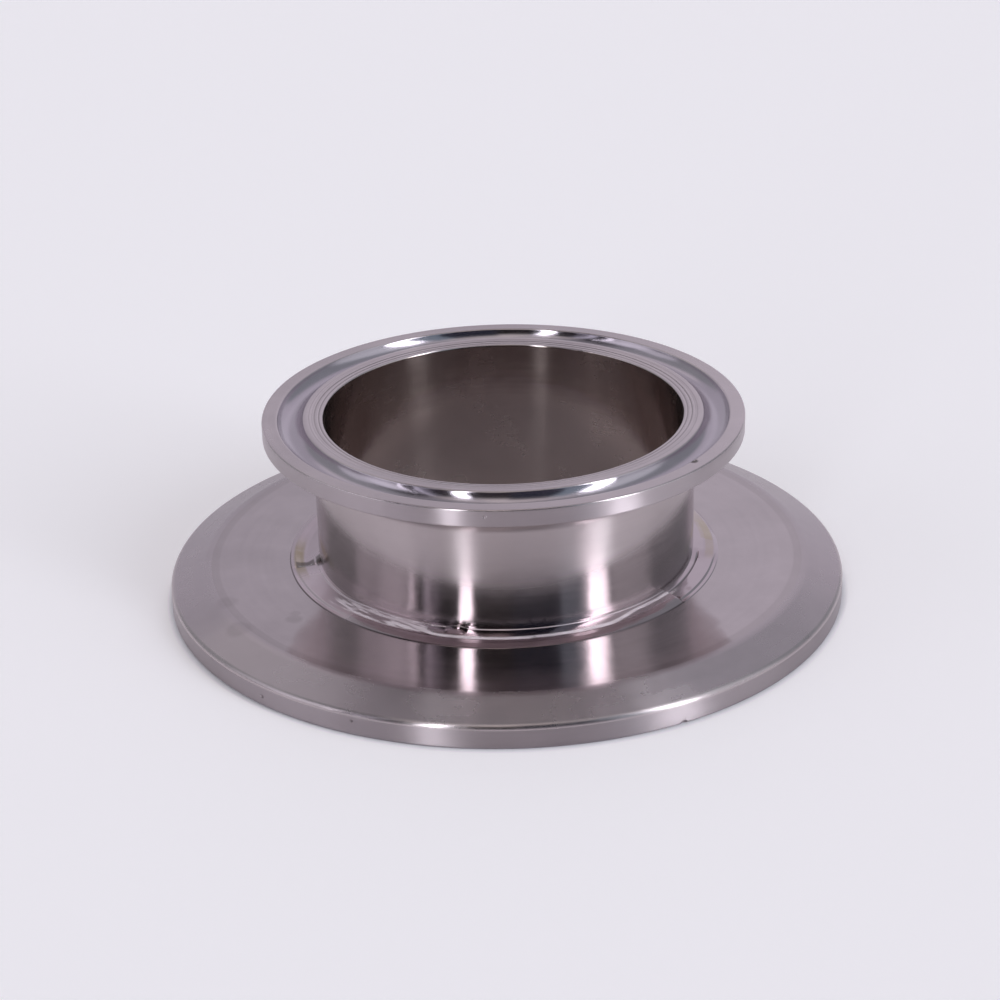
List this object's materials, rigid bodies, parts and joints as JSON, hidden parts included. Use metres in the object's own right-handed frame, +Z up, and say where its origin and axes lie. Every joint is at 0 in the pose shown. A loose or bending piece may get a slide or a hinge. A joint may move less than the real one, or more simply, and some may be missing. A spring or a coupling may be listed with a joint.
{
  "type": "sanitary clamp reducing end cap",
  "caption": "Round clamp end cap with a bored centre and a smaller clamp ferrule welded upright in it, to step a large clamp joint down to a small one.",
  "frame": {"origin": "on the bore's centre line, in the plane of the large gasket face that the part rests on", "axes": "+Z up the bore from the large clamp end to the small clamp end; the part is turned about Z, so +X and +Y are free"},
  "size_m": [0.091, 0.091, 0.0254],
  "materials": {
    "turned_steel": "satin stainless steel, faced on a lathe, with fine turning lines round the bore",
    "polished_steel": "bright stainless steel, polished round the tube and the small flange",
    "weld_steel": "stainless weld metal, dressed smooth in front and left as laid behind, with brown heat tint"
  },
  "bodies": {
    "root": {"end_cap_plate": "turned_steel", "weld_ferrule": "polished_steel", "outer_weld_bead": "weld_steel", "inner_weld_bead": "weld_steel"}
  },
  "joints": []
}
